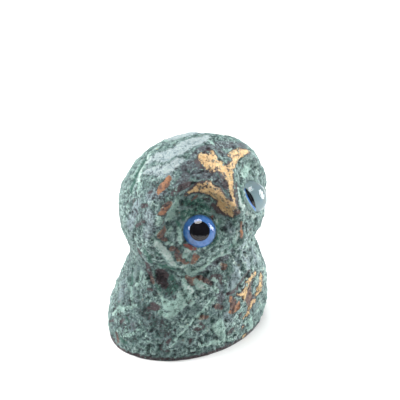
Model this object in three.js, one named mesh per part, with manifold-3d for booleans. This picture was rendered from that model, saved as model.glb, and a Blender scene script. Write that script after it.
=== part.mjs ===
// Owl statue: one small solid bronze casting with two domed glass eyes let into its face.
// Millimetres, +Z up. The owl faces -Y and stands on its flat underside, which is at z = 0.
import * as THREE from 'three';
import { mergeVertices } from 'three/addons/utils/BufferGeometryUtils.js';
import Module from 'manifold-3d';

const { clamp, degToRad, smoothstep } = THREE.MathUtils;

// Body: half-width, reach to the front and to the back, and lean to +X, at five heights.
const ROW_Z = [0, 9, 19, 29, 39];
const ROW_WIDTH = [27.7, 28.15, 25.3, 22.1, 18.7];
const ROW_FRONT = [21.4, 21.6, 22.6, 21.8, 17.3];
const ROW_BACK = [22.3, 22.9, 20.3, 15.5, 12.7];
const ROW_LEAN = [-1.5, -0.4, 0.3, 0.9, 0.6];
const BODY_TOP = 46;
const BASE_INSET = 0.55;

// Head: a rounded mass, flatter in front than behind, turned and tilted on the body.
const HEAD_CENTRE = [0.3, -5.1, 45.2];
const HEAD_WIDTH = 25.8;
const HEAD_FRONT = 10.75;
const HEAD_BACK = 26.4;
const HEAD_HEIGHT = 22.5;
const HEAD_TURN = degToRad(5);
const HEAD_TILT = degToRad(8.3);

// Face, in the head's own axes: two shallow discs that meet in the peak over the bill.
const EYE_SPACING = 23.66;
const EYE_FRONT = -12.5;
const EYE_RISE = 2.6;
const DISC_TURN = degToRad(27.5);
const DISC_LIFT = degToRad(20);
const DISC_WIDTH = 12.7;
const DISC_HEIGHT = 13.6;
const DISC_UP = 1.5;
const DISC_CROWN_RADIUS = 90;
const CHEEK = [13.5, 13.4, 8];
const CHEEK_BEHIND = 6;
const BROW_HEIGHT = 1.1;
const CHEEK_RIM_HEIGHT = 0.65;
const LID_HEIGHT = 0.25;
const PEAK_RADIUS = 5;
const BILL_TOP = [0, -16.8, 5];
const BILL_TIP = [0.1, -17.6, -5.2];
const BILL_RADII = [1.7, 1.3];
const CREST_HEIGHT = 0.5;

// Eyes: domed glass in round sockets, looking further outwards than the discs that they sit in.
const EYE_TURN = degToRad(50);
const EYE_LIFT = degToRad(25);
const EYE_RADIUS = 5;
const EYE_DOME = 4;
const EYE_SEAT = 3.4;
const SOCKET_GAP = 0.3;
const SOCKET_REACH = 4;

// Wings and breast: the hollow under the cheek, the shoulder, the wing's front edge, the folds.
const HOLLOW = { depth: 3.2, at: [18.4, -12, 28.6], reach: [4.6, 5, 4.6] };
const SHOULDER = { height: 1.2, at: [16, -16.6, 22], reach: [5, 4.5, 4.6] };
const WING_EDGE = [10.4, -21.2, 21.4];
const WING_ACROSS = [0.605, 0.52, 0.602];
const WING_HEIGHT = 0.45;
const FOLD_HEIGHT = 0.3;
const FOLD_PITCH = 5.2;

// Facets of the casting, and how often its points are evened out over the surface.
const COLUMNS = 78;
const LEVEL_ROWS = 38;
const FAN_ROWS = 17;
const FAN_CENTRE = [0, -8, 58];
const EVENINGS = 12;

const dot = (a, b) => a[0] * b[0] + a[1] * b[1] + a[2] * b[2];
const minus = (a, b) => [a[0] - b[0], a[1] - b[1], a[2] - b[2]];
const along = (a, d, r) => [a[0] + d[0] * r, a[1] + d[1] * r, a[2] + d[2] * r];
const smin = (a, b, k) => Math.min(a, b) - (Math.max(k - Math.abs(a - b), 0) ** 2) / (4 * k);
const smax = (a, b, k) => -smin(-a, -b, k);
const bump = (x) => Math.exp(-x * x);

// A smooth curve through the rows' values, straight beyond the ends.
function row(values, z) {
  const last = ROW_Z.length - 1;
  const slope = (i) => (values[i + 1] - values[i]) / (ROW_Z[i + 1] - ROW_Z[i]);
  const tangent = (i) => (slope(Math.max(i - 1, 0)) + slope(Math.min(i, last - 1))) / 2;
  const i = clamp(ROW_Z.findLastIndex((edge) => edge < z), 0, last - 1);
  const h = ROW_Z[i + 1] - ROW_Z[i];
  const u = (z - ROW_Z[i]) / h;
  const t = clamp(u, 0, 1);
  const curve = (2 * t ** 3 - 3 * t ** 2 + 1) * values[i] + (t ** 3 - 2 * t ** 2 + t) * h * tangent(i)
    + (3 * t ** 2 - 2 * t ** 3) * values[i + 1] + (t ** 3 - t ** 2) * h * tangent(i + 1);
  return curve + Math.max(u - 1, 0) * h * tangent(last) + Math.min(u, 0) * h * tangent(0);
}

// Distance outside a rounded bar from a to b whose radius runs from ra to rb.
function bar(p, a, b, ra, rb) {
  const ab = minus(b, a);
  const pa = minus(p, a);
  const t = clamp(dot(pa, ab) / dot(ab, ab), 0, 1);
  return Math.hypot(...along(pa, ab, -t)) - (ra + (rb - ra) * t);
}

// A soft mound of height one.
const mound = (p, { at, reach }) => Math.exp(
  -(((p[0] - at[0]) / reach[0]) ** 2) - ((p[1] - at[1]) / reach[1]) ** 2 - ((p[2] - at[2]) / reach[2]) ** 2);

// The head's own axes: x to the owl's left, y to the back, z up.
const headX = [
  Math.cos(HEAD_TURN) * Math.cos(HEAD_TILT), Math.sin(HEAD_TURN) * Math.cos(HEAD_TILT), Math.sin(HEAD_TILT)];
const headY = [-Math.sin(HEAD_TURN), Math.cos(HEAD_TURN), 0];
const headZ = new THREE.Vector3(...headX).cross(new THREE.Vector3(...headY)).toArray();
const intoHead = (p) => {
  const d = minus(p, HEAD_CENTRE);
  return [dot(d, headX), dot(d, headY), dot(d, headZ)];
};
const outOfHead = (q) => new THREE.Vector3()
  .addScaledVector(new THREE.Vector3(...headX), q[0])
  .addScaledVector(new THREE.Vector3(...headY), q[1])
  .addScaledVector(new THREE.Vector3(...headZ), q[2]);

const facing = (side, turn, lift) => [
  side * Math.sin(turn) * Math.cos(lift), -Math.cos(turn) * Math.cos(lift), Math.sin(lift)];

// Each disc's centre and axes: its normal, outward along the face, and up the face; and where its eye looks.
const discs = [-1, 1].map((side) => {
  const normal = facing(side, DISC_TURN, DISC_LIFT);
  const outward = [side * Math.cos(DISC_TURN), Math.sin(DISC_TURN), 0];
  const up = new THREE.Vector3(...normal).cross(new THREE.Vector3(...outward)).multiplyScalar(side).toArray();
  const gaze = facing(side, EYE_TURN, EYE_LIFT);
  return { centre: [side * EYE_SPACING / 2, EYE_FRONT, EYE_RISE], normal, outward, up, gaze };
});

function headField(q) {
  const inDiscs = discs.map(({ centre, normal, outward, up }) => {
    const d = minus(q, centre);
    return { out: dot(d, outward), up: dot(d, up), high: dot(d, normal) };
  });
  const depth = HEAD_FRONT + (HEAD_BACK - HEAD_FRONT) * smoothstep(q[1], -13, 15);
  let f = (Math.hypot(q[0] / HEAD_WIDTH, q[1] / depth, q[2] / HEAD_HEIGHT) - 1) * 20;
  // Each cheek is a lens of metal that carries the disc out to its lower rim.
  for (const { out, up, high } of inDiscs) {
    const v = [out / CHEEK[0], (up - DISC_UP) / CHEEK[1], (high + CHEEK_BEHIND) / CHEEK[2]];
    const near = Math.hypot(...v);
    f = smin(f, near * (near - 1) / Math.hypot(v[0] / CHEEK[0], v[1] / CHEEK[1], v[2] / CHEEK[2], 1e-6), 3);
  }
  // The peak between the discs, and the forehead that runs back from it.
  f = smin(f, bar(q, [0, -12.5, 9], [0, -12.5, -8], PEAK_RADIUS, PEAK_RADIUS), 4);
  f = smin(f, bar(q, [0, -12.5, 6], [0, -3.5, 13.5], PEAK_RADIUS, 7), 4);
  // The discs' floors, with the brow, the cheek's rim and the eyelid raised on them.
  let rim = 0;
  for (const { out, up, high } of inDiscs) {
    const narrowing = 1 - 0.013 * clamp(up, 0, 14);
    const around = Math.hypot(out / (DISC_WIDTH * narrowing), (up - DISC_UP) / DISC_HEIGHT);
    const floor = 7 * smoothstep(around, 0.8, 1.12) - (out * out + up * up) / (2 * DISC_CROWN_RADIUS)
      - bump((up - 8) / 3.2) * bump(out / 8) - 0.5 * bump((out + 7.5) / 3) * bump((up - 1) / 5);
    const brow = BROW_HEIGHT * bump((around - 1.06) / 0.12) * smoothstep(up, 0.5, 6)
      * (1 - smoothstep(out, 5, 11));
    const cheekRim = CHEEK_RIM_HEIGHT * bump((around - 1.09) / 0.055) * (1 - smoothstep(up, -3, 0))
      * smoothstep(out, -1, 3) + 0.4 * bump((around - 0.99) / 0.07) * (1 - smoothstep(up, -9, -6))
      * (1 - smoothstep(out, -1, 3));
    const lid = LID_HEIGHT * bump((Math.hypot(out, up) - 6.1) / 0.8);
    if (high > -6) f = smax(f, high - floor, 0.8);
    rim += (brow + cheekRim + lid) * smoothstep(high, -6, -3);
  }
  f = smin(f, bar(q, BILL_TOP, BILL_TIP, ...BILL_RADII), 1.6);
  const crest = CREST_HEIGHT * bump(q[0] / 1.9) * smoothstep(q[2], 3, 9) * (1 - smoothstep(q[2], 17.5, 21))
    * (1 - smoothstep(q[1], -3, 0));
  return f - rim - crest;
}

function bodyField(p) {
  const [x, y, z] = p;
  const width = row(ROW_WIDTH, z);
  const front = row(ROW_FRONT, z);
  const depth = front + (row(ROW_BACK, z) - front) * smoothstep(y, -9, 9);
  const f = (Math.hypot((x - row(ROW_LEAN, z)) / Math.max(width, 4), y / Math.max(depth, 4)) - 1)
    * Math.min(width, depth) * 0.9;
  return smax(f, z - BODY_TOP, 8);
}

// Negative inside the casting and positive outside, near its surface about the distance from it.
function owlField(p) {
  const [x, y, z] = p;
  let f = smin(headField(intoHead(p)), bodyField(p), 3);
  const m = [Math.abs(x - 0.1), y, z];
  f += HOLLOW.depth * mound(m, HOLLOW) - SHOULDER.height * mound(m, SHOULDER);
  const t = dot(minus(m, WING_EDGE), WING_ACROSS);
  const side = smoothstep(m[0], 6, 11) * smoothstep(z, 1, 6) * (1 - smoothstep(z, 17, 23))
    * (1 - smoothstep(y, -12, 4));
  f -= side * WING_HEIGHT * (bump(t / 0.9) + 0.6 * smoothstep(t, -1.2, 1.2) * bump((t - 1) / 9));
  const angle = Math.atan2(x, -y);
  const breast = smoothstep(z, 20, 27) * (1 - smoothstep(z, 33, 39)) * bump((angle - 0.15) / 0.42)
    * (1 - smoothstep(y, -18, -12));
  return f - FOLD_HEIGHT * Math.cos(2 * Math.PI * (angle * 22 + (z - 30) * 0.55) / FOLD_PITCH) * breast;
}

// The first point along a ray from inside the casting where it leaves the metal.
function surfacePoint(origin, direction) {
  let inside = 0;
  let outside = 4;
  while (outside < 60 && owlField(along(origin, direction, outside)) < 0) {
    inside = outside;
    outside += 0.8;
  }
  for (let i = 0; i < 10; i += 1) {
    const middle = (inside + outside) / 2;
    if (owlField(along(origin, direction, middle)) < 0) inside = middle;
    else outside = middle;
  }
  return along(origin, direction, (inside + outside) / 2);
}

// Moves a point near the surface straight onto it, down the field's slope.
function settle(p) {
  const step = 0.02;
  const f = owlField(p);
  const slope = [0, 1, 2].map((k) => {
    const q = [...p];
    q[k] += step;
    return (owlField(q) - f) / step;
  });
  return along(p, slope, -clamp(f / Math.max(dot(slope, slope), 0.1), -1, 1));
}

// Rows of points round the casting: level rays up to the brow, then rays fanning up over the crown.
function castingGeometry() {
  const rows = LEVEL_ROWS + FAN_ROWS;
  let points = [];
  for (let j = 0; j < rows; j += 1) {
    const lift = Math.max(j - LEVEL_ROWS + 1, 0) / (FAN_ROWS + 1) * (Math.PI / 2);
    const z = FAN_CENTRE[2] * Math.min(Math.max(j - 1, 0.15 * j) / (LEVEL_ROWS - 2), 1);
    const origin = [0, FAN_CENTRE[1] * smoothstep(z, 10, 36), z];
    for (let i = 0; i < COLUMNS; i += 1) {
      const turn = (i / COLUMNS) * 2 * Math.PI;
      const angle = turn - 0.32 * Math.sin(turn);
      const direction = [Math.sin(angle) * Math.cos(lift), -Math.cos(angle) * Math.cos(lift), Math.sin(lift)];
      const p = surfacePoint(origin, direction);
      points.push(j === 0 ? [p[0] - direction[0] * BASE_INSET, p[1] - direction[1] * BASE_INSET, 0] : p);
    }
  }
  const at = (j, i) => j * COLUMNS + ((i + COLUMNS) % COLUMNS);
  for (let n = 0; n < EVENINGS; n += 1) {
    points = points.map((p, k) => {
      const j = Math.floor(k / COLUMNS);
      const i = k % COLUMNS;
      if (j < 3 || j === rows - 1) return p;
      const near = [at(j, i - 1), at(j, i + 1), at(j - 1, i), at(j + 1, i)].map((m) => points[m]);
      return settle(p.map((v, a) => v / 2 + (near[0][a] + near[1][a] + near[2][a] + near[3][a]) / 8));
    });
  }
  const foot = points.push([0, 0.5, 0]) - 1;
  points.push(surfacePoint(FAN_CENTRE, [0, 0, 1]));
  const index = [];
  for (let i = 0; i < COLUMNS; i += 1) {
    index.push(foot, at(0, i + 1), at(0, i), at(rows - 1, i), at(rows - 1, i + 1), foot + 1);
    for (let j = 0; j < rows - 1; j += 1) {
      const [a, b, c, d] = [at(j, i), at(j, i + 1), at(j + 1, i + 1), at(j + 1, i)];
      const [ac, bd] = [minus(points[a], points[c]), minus(points[b], points[d])];
      index.push(...(dot(ac, ac) < dot(bd, bd) ? [a, b, c, a, c, d] : [a, b, d, b, c, d]));
    }
  }
  const geometry = new THREE.BufferGeometry();
  geometry.setAttribute('position', new THREE.Float32BufferAttribute(points.flat(), 3));
  geometry.setIndex(index);
  return geometry;
}

const wasm = await Module();
wasm.setup();

function toSolid(geometry) {
  geometry.deleteAttribute('normal');
  geometry.deleteAttribute('uv');
  const merged = mergeVertices(geometry, 1e-4);
  return new wasm.Manifold(new wasm.Mesh({
    numProp: 3,
    vertProperties: new Float32Array(merged.attributes.position.array),
    triVerts: new Uint32Array(merged.index.array),
  }));
}

function toGeometry(solid) {
  const mesh = solid.getMesh();
  const geometry = new THREE.BufferGeometry();
  geometry.setAttribute('position', new THREE.BufferAttribute(new Float32Array(mesh.vertProperties), 3));
  geometry.setIndex(new THREE.BufferAttribute(new Uint32Array(mesh.triVerts), 1));
  geometry.computeVertexNormals();
  return geometry;
}

// Where each eye sits in the whole figure, its own y axis looking out of the face.
const seats = discs.map(({ centre, gaze }) => ({
  position: outOfHead(centre).add(new THREE.Vector3(...HEAD_CENTRE)),
  turn: new THREE.Quaternion().setFromUnitVectors(new THREE.Vector3(0, 1, 0), outOfHead(gaze).normalize()),
}));

function eyeGeometry() {
  const profile = [new THREE.Vector2(0, -EYE_SEAT), new THREE.Vector2(EYE_RADIUS, -EYE_SEAT)];
  for (let k = 0; k <= 8; k += 1) {
    const a = (k / 8) * (Math.PI / 2);
    profile.push(new THREE.Vector2(k === 8 ? 0 : EYE_RADIUS * Math.cos(a), EYE_DOME * Math.sin(a)));
  }
  return new THREE.LatheGeometry(profile, 28);
}

function socketGeometry(seat) {
  const depth = EYE_SEAT + SOCKET_GAP;
  const radius = EYE_RADIUS + SOCKET_GAP;
  const socket = new THREE.CylinderGeometry(radius, radius, depth + SOCKET_REACH, 28);
  socket.translate(0, (SOCKET_REACH - depth) / 2, 0);
  socket.applyQuaternion(seat.turn);
  return socket.translate(...seat.position.toArray());
}

let casting = toSolid(castingGeometry());
for (const seat of seats) casting = casting.subtract(toSolid(socketGeometry(seat)));

const bronze = new THREE.MeshStandardMaterial({ color: 0x5f7f74, roughness: 0.75, metalness: 0.4 });
const glass = new THREE.MeshStandardMaterial({ color: 0x4f79c4, roughness: 0.05, metalness: 0 });

const owl = new THREE.Group();
const body = new THREE.Mesh(toGeometry(casting), bronze);
body.name = 'casting';
owl.add(body);
['right_eye', 'left_eye'].forEach((name, i) => {
  const eye = new THREE.Mesh(eyeGeometry(), glass);
  eye.name = name;
  eye.position.copy(seats[i].position);
  eye.quaternion.copy(seats[i].turn);
  owl.add(eye);
});

export default owl;
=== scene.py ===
"""Owl statue: the look of a small patinated bronze owl with domed glass eyes.

All shapes are worked out in millimetres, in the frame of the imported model, and turned into metres when a
mesh is made. The owl faces -Y and stands on z = 0.
"""
import math
from functools import cached_property

import bpy
import numpy as np
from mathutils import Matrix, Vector


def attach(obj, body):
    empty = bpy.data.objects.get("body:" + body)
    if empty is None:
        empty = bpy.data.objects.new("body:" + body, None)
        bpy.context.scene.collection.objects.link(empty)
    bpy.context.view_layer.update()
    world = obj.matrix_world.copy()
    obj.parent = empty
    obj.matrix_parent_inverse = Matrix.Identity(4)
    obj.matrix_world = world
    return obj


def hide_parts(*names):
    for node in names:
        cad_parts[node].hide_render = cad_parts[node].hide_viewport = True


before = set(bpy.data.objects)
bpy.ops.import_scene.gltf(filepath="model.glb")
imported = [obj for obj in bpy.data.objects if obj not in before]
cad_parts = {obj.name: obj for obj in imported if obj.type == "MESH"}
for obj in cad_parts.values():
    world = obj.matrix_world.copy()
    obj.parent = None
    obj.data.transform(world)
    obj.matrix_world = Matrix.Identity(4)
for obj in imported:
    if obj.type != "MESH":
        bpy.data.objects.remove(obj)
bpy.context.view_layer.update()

bl_info = {
    "name": "Owl statue",
    "version": (1, 0, 0),
    "blender": (4, 5, 0),
    "location": "View3D > Sidebar > Owl",
    "description": "Builds a patinated bronze owl with domed glass eyes, and a plain stage for it",
    "category": "Object",
}

MM = 0.001
VIEW_AZIMUTH, VIEW_ELEVATION = math.radians(-38), math.radians(29)

# ---- The owl's form, in millimetres: the same named values as the part's own source ----

ROW_Z = np.array([0, 9, 19, 29, 39.0])
ROW_WIDTH = np.array([27.7, 28.15, 25.3, 22.1, 18.7])
ROW_FRONT = np.array([21.4, 21.6, 22.6, 21.8, 17.3])
ROW_BACK = np.array([22.3, 22.9, 20.3, 15.5, 12.7])
ROW_LEAN = np.array([-1.5, -0.4, 0.3, 0.9, 0.6])
BODY_TOP = 46
BASE_INSET = 0.55

HEAD_CENTRE = np.array([0.3, -5.1, 45.2])
HEAD_WIDTH, HEAD_FRONT, HEAD_BACK, HEAD_HEIGHT = 25.8, 10.75, 26.4, 22.5
HEAD_TURN, HEAD_TILT = math.radians(5), math.radians(8.3)

EYE_SPACING, EYE_FRONT, EYE_RISE = 23.66, -12.5, 2.6
DISC_TURN, DISC_LIFT = math.radians(27.5), math.radians(20)
DISC_WIDTH, DISC_HEIGHT, DISC_UP, DISC_CROWN_RADIUS = 12.7, 13.6, 1.5, 90
CHEEK, CHEEK_BEHIND = np.array([13.5, 13.4, 8.0]), 6
BROW_HEIGHT, CHEEK_RIM_HEIGHT, LID_HEIGHT = 1.1, 0.65, 0.25
PEAK_RADIUS = 5
BILL_TOP, BILL_TIP, BILL_RADII = (0, -16.8, 5), (0.1, -17.6, -5.2), (1.7, 1.3)
CREST_HEIGHT = 0.5

EYE_TURN, EYE_LIFT = math.radians(50), math.radians(25)
EYE_RADIUS, EYE_DOME, EYE_SEAT = 5.0, 4.0, 3.4

HOLLOW_DEPTH, HOLLOW_AT, HOLLOW_REACH = 3.2, (18.4, -12, 28.6), (4.6, 5, 4.6)
SHOULDER_HEIGHT, SHOULDER_AT, SHOULDER_REACH = 1.2, (16, -16.6, 22), (5, 4.5, 4.6)
WING_EDGE, WING_ACROSS, WING_HEIGHT = (10.4, -21.2, 21.4), (0.605, 0.52, 0.602), 0.45
FOLD_HEIGHT, FOLD_PITCH = 0.3, 5.2

# The visible socket is closer to the glass than the solid's, so that the eye looks held.
SOCKET_GAP = 0.15

# What is sealed in the glass: heights from the socket's rim, and the cup's radius and wall.
# The pale cup is painted light: it stands in for the light and reflections that show in the glass.
CUP_BACK, CUP_RIM, CUP_RADIUS, CUP_WALL = -3.32, -1.06, 4.8, 0.1
CONE_BACK, CONE_EDGE, CONE_TOP = -3.2, -2.5, -1.0
PUPIL_BACK, PUPIL_TOP = -0.96, -0.84
EYE_COLUMNS, DOME_STEPS = 96, 24

# The stage, in metres. The tent's light goes from its front strength to its full strength between two cosines of
# the angle to the camera's direction.
LIGHT_SIZE = 0.45
TOP_LIGHT, LEFT_LIGHT, RIGHT_LIGHT = (-0.08, 0.08, 0.6), (-0.58, 0.48, 0.27), (0.53, -0.26, 0.2)
LIGHTS_AIM = (0, 0, 0.03)
TENT_FRONT, TENT_BESIDE = 0.75, -0.1
FLOOR_DROP = 0.02 * MM

# The painted contact shade along the foot's edge fades out between these heights.
FOOT_SHADE_BAND = (0.2, 2.2)

# The casting's grid of points.
COLUMNS, LEVEL_ROWS, FAN_ROWS, FOOT_ROWS = 420, 146, 64, 14
FAN_CENTRE = np.array([0, -8, 58.0])
EVENINGS = 14
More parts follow.
